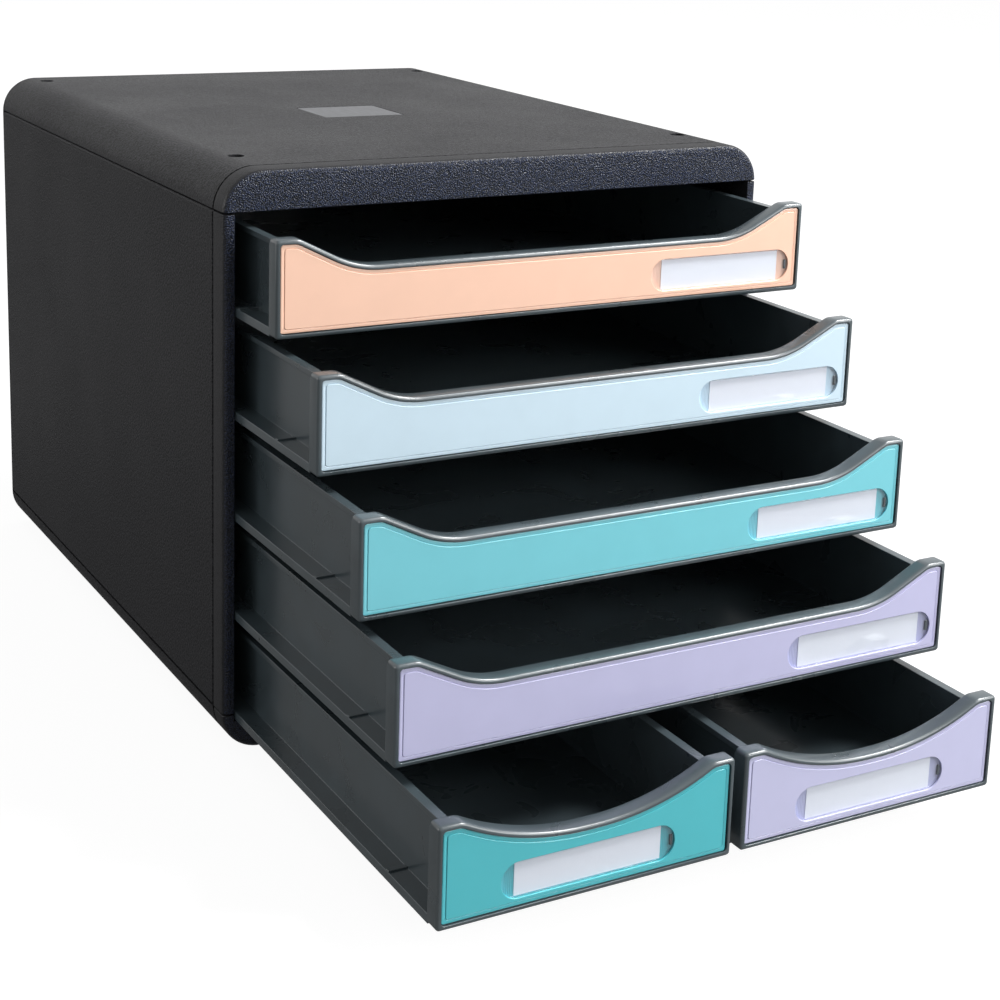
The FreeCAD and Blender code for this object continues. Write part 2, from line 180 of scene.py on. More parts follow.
# Spark-eroded charcoal ABS: the pits are about 0.3 mm, drawn at 1.0 mm so that they show, and break
# the sheen into a dry grey haze. Slower clouding, 60 mm across, is uneven gloss from the mould.
GRAINED_ABS, tree = new_material("spark_eroded_charcoal_abs")
where = add(tree, "TexCoord").outputs["Object"]
pits = add(tree, "TexNoise", {"Vector": where, "Scale": 1 / (1.0 * MM), "Detail": 2, "Roughness": 0.6})
clouds = add(tree, "TexNoise", {"Vector": where, "Scale": 1 / (60 * MM), "Detail": 2})
haze = add(tree, "MapRange", {"Value": clouds.outputs["Fac"], "From Min": 0.3, "From Max": 0.7,
                              "To Min": 0.47, "To Max": 0.53})
speckle = add(tree, "ValToRGB", {"Fac": pits.outputs["Fac"]})
dark, pale = speckle.color_ramp.elements
dark.position, dark.color = 0.4, linear("0c0c0d")
pale.position, pale.color = 0.6, linear("343437")
relief = add(tree, "Bump", {"Height": pits.outputs["Fac"], "Distance": 0.4 * MM, "Strength": 0.9})
skin = add(tree, "BsdfPrincipled", {"Base Color": speckle.outputs["Color"],
                                    "Roughness": haze.outputs["Result"], "IOR": 1.53,
                                    "Specular IOR Level": 0.10, "Normal": relief.outputs["Normal"]})
add(tree, "OutputMaterial", {"Surface": skin.outputs["BSDF"]})

lid = case_block(LID_LOW.y, LID_HIGH.y)
trim(lid, UPPER_SEAM + SEAM_GAP, keep_above=True)
open_end(lid, LID_LOW.y)
open_end(lid, LID_HIGH.y)
lid = piece("top_cover_moulding", lid, "case", "case_shell", GRAINED_ABS, "top_cover")
thicken(lid, WALL)
FEET_LOW, FEET_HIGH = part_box("stacking_feet")
FOOT_RADIUS = 3.6 * MM
CORNERS = [(x, y) for x in (FEET_LOW.x + FOOT_RADIUS, FEET_HIGH.x - FOOT_RADIUS)
           for y in (FEET_LOW.y + FOOT_RADIUS, FEET_HIGH.y - FOOT_RADIUS)]


def discs(radius, height, z):
    """A mesh of four upright discs near the corners of the case, centred on a height."""
    bm = bmesh.new()
    for x, y in CORNERS:
        bmesh.ops.create_cone(bm, cap_ends=True, segments=40, radius1=radius, radius2=radius, depth=height,
                              matrix=Matrix.Translation((x, y, z)))
    return bm


PLATE_LOW, PLATE_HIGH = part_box("top_plaque")
PLATE_PLAY = 0.15 * MM
hollows = discs(SOCKET_RADIUS, 2 * SOCKET_DEPTH, CASE_HIGH.z)
block(hollows, PLATE_LOW - Vector((PLATE_PLAY, PLATE_PLAY, 0)),
      PLATE_HIGH + Vector((PLATE_PLAY, PLATE_PLAY, 1 * MM)))
carve(lid, hollows)
soften(lid, SEAM_SOFTENING)

# --- Plate on the lid ------------------------------------------------------------------------------------
# A thin light-grey ABS rectangle glued into its seat, left bare. It is finely brushed across, so it
# shines softly and a little unevenly. The brush lines are drawn 0.8 mm wide so that they show.
BRUSHED_GREY_ABS, tree = new_material("satin_grey_abs_plate")
where = add(tree, "TexCoord").outputs["Object"]
stretched = add(tree, "Mapping", {"Vector": where, "Scale": (1, 0.08, 1)})
lines = add(tree, "TexNoise", {"Vector": stretched.outputs["Vector"], "Scale": 1 / (0.8 * MM), "Detail": 2})
shade = add(tree, "ValToRGB", {"Fac": lines.outputs["Fac"]})
dark, pale = shade.color_ramp.elements
dark.position, dark.color = 0.3, linear("454649")
pale.position, pale.color = 0.75, linear("5b5d61")
relief = add(tree, "Bump", {"Height": lines.outputs["Fac"], "Distance": 0.05 * MM, "Strength": 0.4})
skin = add(tree, "BsdfPrincipled", {"Base Color": shade.outputs["Color"], "Roughness": 0.42, "IOR": 1.53,
                                    "Specular IOR Level": 0.25, "Normal": relief.outputs["Normal"]})
add(tree, "OutputMaterial", {"Surface": skin.outputs["BSDF"]})

PLATE_CORNER = 1.2 * MM
plate = bmesh.new()
block(plate, PLATE_LOW, PLATE_HIGH)
bevel(plate, edges_along(plate, 2), PLATE_CORNER, 5)
plate = piece("top_plate", plate, "case", "plaque_satin", BRUSHED_GREY_ABS, "top_plaque")
soften(plate, 0.2 * MM)

# --- Base cover and feet ---------------------------------------------------------------------------------
# The tub of the case is the lid's moulding turned over. A ledge along each side carries the outer
# flanges of the half-width drawers. Four rubbery studs are pressed into round seats in its underside.
tub = case_block(BASE_LOW.y, BASE_HIGH.y)
trim(tub, LOWER_SEAM - SEAM_GAP, keep_above=False)
open_end(tub, BASE_LOW.y)
open_end(tub, BASE_HIGH.y)
tub = piece("base_cover_moulding", tub, "case", "case_shell", GRAINED_ABS, "base_cover")
thicken(tub, WALL)
SEAT_RADIUS, FOOT_SEAT_DEPTH = FOOT_RADIUS + 0.2 * MM, 1.2 * MM
carve(tub, discs(SEAT_RADIUS, 2 * FOOT_SEAT_DEPTH, CASE_LOW.z))
soften(tub, SEAM_SOFTENING)

LEDGE_TOP, LEDGE_THICKNESS = 15.6 * MM, 2 * MM
LEDGE_INNER, LEDGE_OUTER = 126.45 * MM, 137 * MM
for side, sign in (("left", -1), ("right", 1)):
    left, right = sorted((sign * LEDGE_INNER, sign * LEDGE_OUTER))
    ledge = bmesh.new()
    block(ledge, (left, BASE_LOW.y, LEDGE_TOP - LEDGE_THICKNESS), (right, BASE_HIGH.y, LEDGE_TOP))
    ledge = piece("base_ledge_" + side, ledge, "case", "case_shell", GRAINED_ABS)
    soften(ledge, 0.4 * MM)

# Black moulded TPE rubber: quite matt, greyed a little by dust in patches of 1.5 mm.
RUBBER, tree = new_material("black_tpe_rubber")
where = add(tree, "TexCoord").outputs["Object"]
dust = add(tree, "TexNoise", {"Vector": where, "Scale": 1 / (1.5 * MM), "Detail": 3})
shade = add(tree, "ValToRGB", {"Fac": dust.outputs["Fac"]})
dark, pale = shade.color_ramp.elements
dark.color, pale.color = linear("1d1d1e"), linear("303032")
skin = add(tree, "BsdfPrincipled", {"Base Color": shade.outputs["Color"], "Roughness": 0.75, "IOR": 1.5})
add(tree, "OutputMaterial", {"Surface": skin.outputs["BSDF"]})
feet = discs(FOOT_RADIUS, FEET_HIGH.z - FEET_LOW.z, (FEET_LOW.z + FEET_HIGH.z) / 2)
feet = piece("stacking_studs", feet, "case", "case_shell", RUBBER, "stacking_feet")
soften(feet, 0.5 * MM)

# --- Rear panel ------------------------------------------------------------------------------------------
# A flat plate with the case's outline closes the back. It is moulded in the same grained ABS and
# snaps into the lid and the tub.
back = case_block(CASE_LOW.y, CASE_HIGH.y)
back = piece("rear_panel_moulding", back, "case", "case_shell", GRAINED_ABS, "rear_panel")
soften(back, 0.5 * MM)

# --- Front ring ------------------------------------------------------------------------------------------
# A bezel in four mouldings round the mouth of the case: a visor over the drawers, two slim posts and
# a rail below. It is glossier than the case, with a coarse leather-like grain, and its outer front
# edge is rolled over, so it catches the light along the top. A fine seam parts it from the case.
RING_LOW, RING_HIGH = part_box("front_visor")
ROLLED_EDGE, RING_GAP = 2.8 * MM, 1.0 * MM
MOUTH_RIGHT, MOUTH_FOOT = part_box("right_front_post")[0].x, 15 * MM

# Leather-grained blue-black ABS: its face is covered in raised lumps about 0.6 mm across, whose tips carry
# a painted pale-blue glint in their colour, while its sides carry a fine grain like the case's.
LEATHER_ABS, tree = new_material("leather_grained_blue_black_abs")
where = add(tree, "TexCoord").outputs["Object"]
facing = add(tree, "SeparateXYZ", {"Vector": add(tree, "TexCoord").outputs["Normal"]})
front = add(tree, "MapRange", {"Value": facing.outputs["Y"], "From Min": -0.55, "From Max": -0.85})
lumps = add(tree, "TexVoronoi", {"Vector": where, "Scale": 1 / (0.6 * MM), "Smoothness": 0.4},
            feature="SMOOTH_F1")
fine = add(tree, "TexNoise", {"Vector": where, "Scale": 1 / (0.7 * MM), "Detail": 2})
# Painted highlight: the raised lump tips are coloured pale blue as a glint, fading to blue-black between
# them.
face = add(tree, "ValToRGB", {"Fac": lumps.outputs["Distance"]})
pale, dark = face.color_ramp.elements
pale.position, pale.color = 0.15, linear("2f3a57")
dark.position, dark.color = 0.55, linear("0c111b")
flank = add(tree, "ValToRGB", {"Fac": fine.outputs["Fac"]})
dark, pale = flank.color_ramp.elements
dark.position, dark.color = 0.38, linear("121214")
pale.position, pale.color = 0.62, linear("262629")
shade = add(tree, "Mix", {"Factor": front.outputs["Result"], "A": flank.outputs["Color"],
                          "B": face.outputs["Color"]}, data_type="RGBA")
height = add(tree, "Mix", {"Factor": front.outputs["Result"], "A": fine.outputs["Fac"],
                           "B": lumps.outputs["Distance"]}, data_type="FLOAT")
depth = add(tree, "MapRange", {"Value": front.outputs["Result"], "To Min": 0.3, "To Max": 0.65})
relief = add(tree, "Bump", {"Height": height.outputs["Result"], "Distance": 0.75 * MM,
                            "Strength": depth.outputs["Result"]}, invert=True)
gloss = add(tree, "MapRange", {"Value": facing.outputs["Y"], "From Min": -0.15, "From Max": -0.35,
                               "To Min": 0.6, "To Max": 0.28})
skin = add(tree, "BsdfPrincipled", {"Base Color": shade.outputs["Result"],
                                    "Roughness": gloss.outputs["Result"], "IOR": 1.53,
                                    "Specular IOR Level": 0.24, "Normal": relief.outputs["Normal"]})
add(tree, "OutputMaterial", {"Surface": skin.outputs["BSDF"]})


def bezel(keep_above, seam):
    """The ring's outline between two depths, rolled over at the front and cut level at a seam."""
    bm = case_block(RING_LOW.y, RING_HIGH.y - RING_GAP)
    rim = [e for e in bm.edges if all(abs(v.co.y - RING_LOW.y) < SAME_PLACE for v in e.verts)]
    bevel(bm, rim, ROLLED_EDGE, 5)
    trim(bm, seam, keep_above)
    open_end(bm, RING_HIGH.y - RING_GAP)
    return bm


visor = piece("front_visor_moulding", bezel(True, UPPER_SEAM + SEAM_GAP), "case", "front_ring", LEATHER_ABS,
              "front_visor")
thicken(visor, WALL)
soften(visor, 0.4 * MM)

rail = piece("bottom_rail_moulding", bezel(False, LOWER_SEAM - SEAM_GAP), "case", "front_ring", LEATHER_ABS,
             "bottom_rail")
thicken(rail, WALL)
mouth = bmesh.new()
block(mouth, (-MOUTH_RIGHT, RING_LOW.y - 1 * MM, MOUTH_FOOT),
      (MOUTH_RIGHT, RING_HIGH.y + 1 * MM, LOWER_SEAM + 1 * MM))
carve(rail, mouth)
soften(rail, 0.4 * MM)

for side, sign in (("left", -1), ("right", 1)):
    low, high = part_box(side + "_front_post")
    post = bmesh.new()
    block(post, low, high - Vector((0, RING_GAP, 0)))
    outer = low.x if sign < 0 else high.x
    corner = [e for e in edges_along(post, 2)
              if all((v.co.xy - Vector((outer, low.y))).length < SAME_PLACE for v in e.verts)]
    bevel(post, corner, ROLLED_EDGE, 5)
    post = piece(side + "_post_moulding", post, "case", "front_ring", LEATHER_ABS, side + "_front_post")
    soften(post, SEAM_SOFTENING)

# --- Seam tongues ----------------------------------------------------------------------------------------
# Every seam of the case is tongued: a narrow strip closes it off below the surface, so that it shows
# as a dark groove and lets no light into the case.
TONGUE_DEPTH, TONGUE_THICKNESS = 1.5 * MM, 1 * MM
TONGUE_BACK = TONGUE_DEPTH + TONGUE_THICKNESS
tongue = bmesh.new()
inset = Vector((TONGUE_DEPTH, 0, TONGUE_DEPTH))
block(tongue, Vector((CASE_LOW.x, RING_HIGH.y - RING_GAP, CASE_LOW.z)) + inset,
      Vector((CASE_HIGH.x, RING_HIGH.y, CASE_HIGH.z)) - inset)
bevel(tongue, edges_along(tongue, 1), LONG_EDGE_RADIUS - TONGUE_DEPTH, 14)
open_end(tongue, RING_HIGH.y - RING_GAP)
open_end(tongue, RING_HIGH.y)
tongue = piece("ring_seam_tongue", tongue, "case", "case_shell", GRAINED_ABS)
thicken(tongue, TONGUE_THICKNESS)

tongues = bmesh.new()
for outer, inwards in ((CASE_LOW.x, 1), (CASE_HIGH.x, -1)):
    left, right = sorted(outer + inwards * depth for depth in (TONGUE_DEPTH, TONGUE_BACK))
    for foot in (UPPER_SEAM, LOWER_SEAM - SEAM_GAP):
        block(tongues, (left, RING_LOW.y + ROLLED_EDGE, foot), (right, LID_HIGH.y, foot + SEAM_GAP))
piece("long_seam_tongues", tongues, "case", "case_shell", GRAINED_ABS)

# --- Side panels and centre divider ----------------------------------------------------------------------
# Flat moulded walls with long runner ribs, slotted between the covers. Their shapes are plain, so the
# solids themselves are shown in the case's grained ABS.
for name in ("left_side_panel", "right_side_panel", "centre_divider"):
    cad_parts[name].data.materials.clear()
    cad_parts[name].data.materials.append(GRAINED_ABS)

# --- Drawer trays ----------------------------------------------------------------------------------------
# Each tray is one polystyrene moulding: an open box with a lipped rim, a flange with a turned-down skirt
# along each side that rides on the runners, and the surround of its front, whose top edge dips in a scoop.
FRAME_DEPTH, BORDER = 7.8 * MM, 2 * MM
SEAT_DEPTH, WEB = 2.9 * MM, 2 * MM
CORNER_RADIUS, ROLL = 1.5 * MM, 1.2 * MM
EAR_WIDTH, SCOOP_DEPTH, SCOOP_SLOPE = 10.2 * MM, 13.4 * MM, radians(26.6)
FLANGE_WIDTH, FLANGE_TOP, FLANGE_THICKNESS = 8.25 * MM, 4 * MM, 1.8 * MM
TRAY_WALL, FLOOR_LOW, FLOOR_HIGH = 2 * MM, 0.8 * MM, 2.6 * MM
WALL_TOP, RIM_OVERHANG, RIM_THICKNESS = 38.2 * MM, 2.2 * MM, 2.4 * MM
NIB_Y, NIB_LENGTH, NIB_HEIGHT = 40 * MM, 2.4 * MM, 0.7 * MM
TRAY_LAP, BURIED = 0.6 * MM, 0.2 * MM
SHARP_TURN, STRAIGHT_BACK = radians(20), 0.01

# Smooth satin polystyrene in dark blue-grey: flow marks, 25 mm long, vary its gloss, a trace of fine
# mould texture, drawn at 0.7 mm, softens it, and every edge shows a thin pale line of light.
SATIN_STYRENE, tree = new_material("satin_blue_grey_polystyrene")
where = add(tree, "TexCoord").outputs["Object"]
flow = add(tree, "TexNoise", {"Vector": where, "Scale": 1 / (25 * MM), "Detail": 3, "Distortion": 0.6})
fine = add(tree, "TexNoise", {"Vector": where, "Scale": 1 / (0.7 * MM), "Detail": 2})
shade = add(tree, "ValToRGB", {"Fac": flow.outputs["Fac"]})
dark, pale = shade.color_ramp.elements
dark.position, dark.color = 0.3, linear("3e474b")
pale.position, pale.color = 0.7, linear("465156")
gloss = add(tree, "MapRange", {"Value": flow.outputs["Fac"], "From Min": 0.3, "From Max": 0.7,
                               "To Min": 0.26, "To Max": 0.32})
relief = add(tree, "Bump", {"Height": fine.outputs["Fac"], "Distance": 0.01 * MM, "Strength": 0.5})
skin = add(tree, "BsdfPrincipled", {"Base Color": shade.outputs["Color"],
                                    "Roughness": gloss.outputs["Result"], "IOR": 1.59,
                                    "Coat Weight": 0.2, "Coat Roughness": 0.12,
                                    "Normal": relief.outputs["Normal"]})
add(tree, "OutputMaterial", {"Surface": skin.outputs["BSDF"]})


def front_outline(width, radius):
    """A mesh with one face: a drawer front's outline, centred on x = 0 with its foot on z = 0."""
    bm = bmesh.new()
    half, ear, low = width / 2, width / 2 - EAR_WIDTH, FRONT_TALL - SCOOP_DEPTH
    foot_x, foot_z = radius * sin(SCOOP_SLOPE), low + radius * (1 - cos(SCOOP_SLOPE))
    middle = ear - foot_x - (FRONT_TALL - foot_z) / tan(SCOOP_SLOPE)
    first = bm.verts.new((0, 0, low))
    bend = bm.verts.new((middle, 0, low))
    bm.edges.new((first, bend))
    swept = bmesh.ops.spin(bm, geom=[bend], cent=(middle, 0, low + radius), axis=(0, -1, 0),
                           angle=SCOOP_SLOPE, steps=14)
    last = next(g for g in swept["geom_last"] if isinstance(g, bmesh.types.BMVert))
    for x, z in ((ear, FRONT_TALL), (half, FRONT_TALL), (half, 0), (0, 0)):
        following = bm.verts.new((x, 0, z))
        bm.edges.new((last, following))
        last = following
    bmesh.ops.mirror(bm, geom=[*bm.verts, *bm.edges], axis="X", merge_dist=SAME_PLACE)
    bmesh.ops.remove_doubles(bm, verts=bm.verts, dist=SAME_PLACE)
    bmesh.ops.contextual_create(bm, geom=bm.edges)
    return bm


def pull(bm, faces, depth):
    """Extrudes faces along the depth of the drawer and returns the moved ones."""
    made = bmesh.ops.extrude_face_region(bm, geom=faces)["geom"]
    bmesh.ops.translate(bm, verts=[g for g in made if isinstance(g, bmesh.types.BMVert)], vec=(0, depth, 0))
    return [g for g in made if isinstance(g, bmesh.types.BMFace)]


def nested(bm, face, thickness, depth=0):
    """Insets or sinks a face, and returns the edges from its old corners to its new ones."""
    bm.normal_update()
    bmesh.ops.inset_region(bm, faces=[face], thickness=thickness, depth=depth, use_even_offset=True)
    corners = [loop.vert for loop in face.loops if abs(pi - loop.calc_angle()) > SHARP_TURN]
    return [e for v in corners for e in v.link_edges if face not in e.link_faces]


def side_faces(bm):
    """The faces that run straight back from the front."""
    return [f for f in bm.faces if abs(f.normal.y) < STRAIGHT_BACK]


def surround(width, radius):
    """The grey frame of a drawer front, with a seat for the coloured panel and a hollow back."""
    bm = front_outline(width, radius)
    pull(bm, bm.faces[:], FRAME_DEPTH)
    bmesh.ops.recalc_face_normals(bm, faces=bm.faces)
    corners = [e for e in edges_along(bm, 1) if e.calc_face_angle() > SHARP_TURN]
    for y, depth in ((0, SEAT_DEPTH), (FRAME_DEPTH, FRAME_DEPTH - SEAT_DEPTH - WEB)):
        face = flat_faces(bm, y)[0]
        corners += nested(bm, face, BORDER)
        corners += nested(bm, face, 0, -depth)
    bevel(bm, corners, CORNER_RADIUS, 4)
    bm.normal_update()
    sides = [f for f in side_faces(bm)
             if {round(v.co.y / MM, 3) for v in f.verts} == {0, round(FRAME_DEPTH / MM, 3)}]
    rim = [e for f in sides for e in f.edges if all(v.co.y < SAME_PLACE for v in e.verts)
           or all(v.co.y > FRAME_DEPTH - SAME_PLACE and v.co.z > FLANGE_TOP for v in e.verts)]
    bevel(bm, rim, ROLL, 4)
    return bm


def tray_box(bm, width, length):
    """The open box behind the front: its cross-section, swept to the back, and its rear wall."""
    half, wall = width / 2, width / 2 - FLANGE_WIDTH
    inner, rim = wall - TRAY_WALL, wall + RIM_OVERHANG
    skirt, flange_foot = half - FLANGE_THICKNESS, FLANGE_TOP - FLANGE_THICKNESS
    rim_foot = WALL_TOP - RIM_THICKNESS
    section = [(0, FLOOR_LOW), (wall, FLOOR_LOW), (wall, flange_foot), (skirt, flange_foot), (skirt, 0),
               (half, 0), (half, FLANGE_TOP), (wall, FLANGE_TOP), (wall, rim_foot), (rim, rim_foot),
               (rim, WALL_TOP), (inner, WALL_TOP), (inner, FLOOR_HIGH), (0, FLOOR_HIGH)]
    start = FRAME_DEPTH - TRAY_LAP
    points = [bm.verts.new((x, start, z)) for x, z in section]
    edges = [bm.edges.new(pair) for pair in zip(points, points[1:])]
    made = bmesh.ops.mirror(bm, geom=[*points, *edges], axis="X", merge_dist=SAME_PLACE)["geom"]
    ring = [*edges, *[g for g in made if isinstance(g, bmesh.types.BMEdge)]]
    bmesh.ops.remove_doubles(bm, verts=list({v for e in ring for v in e.verts}), dist=SAME_PLACE)
    ring = [e for e in bm.edges if e.is_wire]
    face = bmesh.ops.contextual_create(bm, geom=ring)["faces"]
    pull(bm, face, length - start)
    block(bm, (-wall, length - TRAY_WALL, FLOOR_LOW), (wall, length, WALL_TOP))
    block(bm, (-wall, SEAT_DEPTH + WEB - BURIED, FLOOR_LOW), (wall, FRAME_DEPTH, FLOOR_HIGH))
    for sign in (-1, 1):
        left, right = sorted((sign * (wall - BURIED), sign * half))
        block(bm, (left, NIB_Y, FLANGE_TOP - BURIED), (right, NIB_Y + NIB_LENGTH, FLANGE_TOP + NIB_HEIGHT))


SCOOP_RADIUS = {"full": 45 * MM, "half": 110 * MM}
DRAWERS = ("top_drawer", "second_drawer", "third_drawer", "fourth_drawer", "left_half_drawer",
           "right_half_drawer")
TRAY_BOX = {name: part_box(name + "_tray") for name in DRAWERS}
FRONT_TALL = TRAY_BOX["top_drawer"][1].z - TRAY_BOX["top_drawer"][0].z


def kind(name):
    """Which of the two widths a drawer has."""
    return "half" if "half" in name else "full"


for name in DRAWERS:
    low, high = TRAY_BOX[name]
    width, length = high.x - low.x, high.y - low.y
    place = Vector(((low.x + high.x) / 2, low.y, low.z))
    tray = surround(width, SCOOP_RADIUS[kind(name)])
    tray_box(tray, width, length)
    bmesh.ops.translate(tray, verts=tray.verts, vec=place)
    bmesh.ops.recalc_face_normals(tray, faces=tray.faces)
    tray = piece(name + "_tray_moulding", tray, name, "tray_grey", SATIN_STYRENE, name + "_tray")
    soften(tray, 0.3 * MM, segments=2)

# --- Coloured panels -------------------------------------------------------------------------------------
# A glossy polystyrene face snaps into each surround. Its edge is a fine step lower than its middle, with
# a line moulded between them. The floor of its round-ended window seat is ribbed at both ends, where
# the label stops, and a small catch stands at the right.
PANEL_RECESS, PANEL_THICKNESS, PANEL_INSET = 0.5 * MM, 2.4 * MM, 2.25 * MM
LINE_INSET, LINE_WIDTH, LINE_DEPTH, PANEL_CORNER = 1.5 * MM, 0.15 * MM, 0.3 * MM, 1.1 * MM
EDGE_STEP, PANEL_ROLL = 0.2 * MM, 0.3 * MM
WINDOW_LENGTH, WINDOW_TALL, WINDOW_DEPTH = 77.2 * MM, 15 * MM, 1.8 * MM
RIB_COUNT, RIB_PITCH, RIB_WIDTH, RIB_HEIGHT = 5, 0.8 * MM, 0.3 * MM, 0.08 * MM
RIB_START, RIB_MARGIN, RIB_TAPER = 0.7 * MM, 0.6 * MM, 0.12 * MM
CATCH_INSET, CATCH_LENGTH, CATCH_RECESS, CATCH_REACH = 1.9 * MM, 1.1 * MM, 0.75 * MM, 2.2 * MM
ALMOST_HALF = 0.4995
PANEL_COLOURS = {"top_drawer": ("peach", "f9ccb3"), "second_drawer": ("pale_blue", "cde3f0"),
                 "third_drawer": ("turquoise", "78cdd9"), "fourth_drawer": ("lilac", "c2c1e2"),
                 "left_half_drawer": ("teal", "4ebcc6"), "right_half_drawer": ("violet", "c4c4e3")}


def glossy_styrene(colour, code):
    """Glossy moulded polystyrene: clean colour, a soft clear reflection and faint waves, 14 mm long."""
    made, tree = new_material("glossy_" + colour + "_polystyrene")
    where = add(tree, "TexCoord").outputs["Object"]
    waves = add(tree, "TexNoise", {"Vector": where, "Scale": 1 / (14 * MM), "Detail": 2})
    value = add(tree, "MapRange", {"Value": waves.outputs["Fac"], "From Min": 0.3, "From Max": 0.7,
                                   "To Min": 0.985, "To Max": 1.015})
    tint = add(tree, "HueSaturation", {"Color": linear(code), "Value": value.outputs["Result"]})
    relief = add(tree, "Bump", {"Height": waves.outputs["Fac"], "Distance": 0.05 * MM, "Strength": 0.25})
    skin = add(tree, "BsdfPrincipled", {"Base Color": tint.outputs["Color"], "Roughness": 0.24, "IOR": 1.59,
                                        "Coat Weight": 0.3, "Coat Roughness": 0.08,
                                        "Normal": relief.outputs["Normal"]})
    add(tree, "OutputMaterial", {"Surface": skin.outputs["BSDF"]})
    return made


def round_ended(bm, centre, length, tall, near, far):
    """A round-ended plate between two depths."""
    made = block(bm, (centre.x - length / 2, near, centre.z - tall / 2),
                 (centre.x + length / 2, far, centre.z + tall / 2))
    ends = [e for e in edges_along(bm, 1) if e.verts[0] in made]
    bevel(bm, ends, ALMOST_HALF * tall, 12)


for name in DRAWERS:
    low, high = TRAY_BOX[name]
    place = Vector(((low.x + high.x) / 2, low.y, low.z))
    panel = front_outline(high.x - low.x, SCOOP_RADIUS[kind(name)])
    bmesh.ops.recalc_face_normals(panel, faces=panel.faces)
    ring = bmesh.ops.inset_region(panel, faces=panel.faces[:], thickness=PANEL_INSET, use_even_offset=True,
                                  use_boundary=True)
    bmesh.ops.delete(panel, geom=ring["faces"], context="FACES")
    pull(panel, panel.faces[:], PANEL_THICKNESS - EDGE_STEP)
    bmesh.ops.translate(panel, verts=panel.verts, vec=(0, EDGE_STEP, 0))
    bmesh.ops.recalc_face_normals(panel, faces=panel.faces)
    corners = [e for e in edges_along(panel, 1) if e.calc_face_angle() > SHARP_TURN]
    face = flat_faces(panel, EDGE_STEP)[0]
    for thickness, depth in ((LINE_INSET, 0), (LINE_WIDTH, -LINE_DEPTH),
                             (LINE_WIDTH, LINE_DEPTH + EDGE_STEP)):
        corners += nested(panel, face, thickness, depth)
    bevel(panel, corners, PANEL_CORNER, 4)
    panel.normal_update()
    sides = [f for f in side_faces(panel) if max(v.co.y for v in f.verts) > 1 * MM]
    rim = [e for f in sides for e in f.edges if all(v.co.y < EDGE_STEP + SAME_PLACE for v in e.verts)]
    bevel(panel, rim, PANEL_ROLL, 3)
    bmesh.ops.translate(panel, verts=panel.verts, vec=place + Vector((0, PANEL_RECESS, 0)))
    colour, code = PANEL_COLOURS[name]
    panel = piece(name + "_face_panel", panel, name, colour + "_panel", glossy_styrene(colour, code),
                  name + "_panel")
    lens_low, lens_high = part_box(name + "_lens")
    window = (lens_low + lens_high) / 2
    near = low.y + PANEL_RECESS
    seat = bmesh.new()
    round_ended(seat, window, WINDOW_LENGTH, WINDOW_TALL, near - 1 * MM, near + WINDOW_DEPTH)
    carve(panel, seat)
    soften(panel, 0.2 * MM, segments=2, sharper_than=50)

    card_low, card_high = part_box(name + "_label")
    ribs = bmesh.new()
    for sign, edge in ((-1, card_low.x), (1, card_high.x)):
        for i in range(RIB_COUNT):
            x = edge + sign * (RIB_START + i * RIB_PITCH)
            reach = WINDOW_TALL / 2 - RIB_MARGIN - i * i * RIB_TAPER
            block(ribs, (x - RIB_WIDTH / 2, near + WINDOW_DEPTH - RIB_HEIGHT, window.z - reach),
                  (x + RIB_WIDTH / 2, near + WINDOW_DEPTH + 0.1 * MM, window.z + reach))
    ribs = piece(name + "_window_ribs", ribs, name, colour + "_panel", panel.data.materials[0])
    soften(ribs, 0.08 * MM, segments=2)

    catch = bmesh.new()
    x = window.x + WINDOW_LENGTH / 2 - CATCH_INSET
    block(catch, (x, near + CATCH_RECESS, window.z - CATCH_REACH),
          (x + CATCH_LENGTH, near + WINDOW_DEPTH, window.z + CATCH_REACH))
    catch = piece(name + "_window_catch", catch, name, "tray_grey", SATIN_STYRENE)
    soften(catch, 0.25 * MM)

# --- Label cards -----------------------------------------------------------------------------------------
# A bare slip of 0.3 mm bleached card lies on the floor of each window, held there by the lens. It is
# matt, with faint fibres about 1.2 mm long.
CARD, tree = new_material("bleached_card")
where = add(tree, "TexCoord").outputs["Object"]
fibre = add(tree, "TexNoise", {"Vector": where, "Scale": 1 / (1.2 * MM), "Detail": 4, "Roughness": 0.7})
shade = add(tree, "ValToRGB", {"Fac": fibre.outputs["Fac"]})
dark, pale = shade.color_ramp.elements
dark.position, dark.color = 0.25, linear("eeeef5")
pale.position, pale.color = 0.75, linear("f5f5fa")
relief = add(tree, "Bump", {"Height": fibre.outputs["Fac"], "Distance": 0.01 * MM, "Strength": 0.3})
skin = add(tree, "BsdfPrincipled", {"Base Color": shade.outputs["Color"], "Roughness": 0.7, "IOR": 1.45,
                                    "Normal": relief.outputs["Normal"]})
add(tree, "OutputMaterial", {"Surface": skin.outputs["BSDF"]})
for name in DRAWERS:
    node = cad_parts[name + "_label"]
    node.data.materials.clear()
    node.data.materials.append(CARD)

# --- Window lenses ---------------------------------------------------------------------------------------
# A clear polystyrene strip with polished faces and a rounded edge clips over each card, with a
# breath of air between them. It reflects sharply, with the faintest smears, 9 mm across, and lets
# shadow and diffuse rays straight through, so that the card is lit.
AIR = 0.12 * MM
CLEAR_STYRENE, tree = new_material("clear_polished_polystyrene")
where = add(tree, "TexCoord").outputs["Object"]
smears = add(tree, "TexNoise", {"Vector": where, "Scale": 1 / (9 * MM), "Detail": 3})
gloss = add(tree, "MapRange", {"Value": smears.outputs["Fac"], "From Min": 0.3, "From Max": 0.7,
                               "To Min": 0.03, "To Max": 0.05})
skin = add(tree, "BsdfPrincipled", {"Base Color": linear("f8fafc"), "Roughness": gloss.outputs["Result"],
                                    "IOR": 1.59, "Transmission Weight": 1.0})
clear = add(tree, "BsdfTransparent", {"Color": linear("f8fafc")})
path = add(tree, "LightPath")
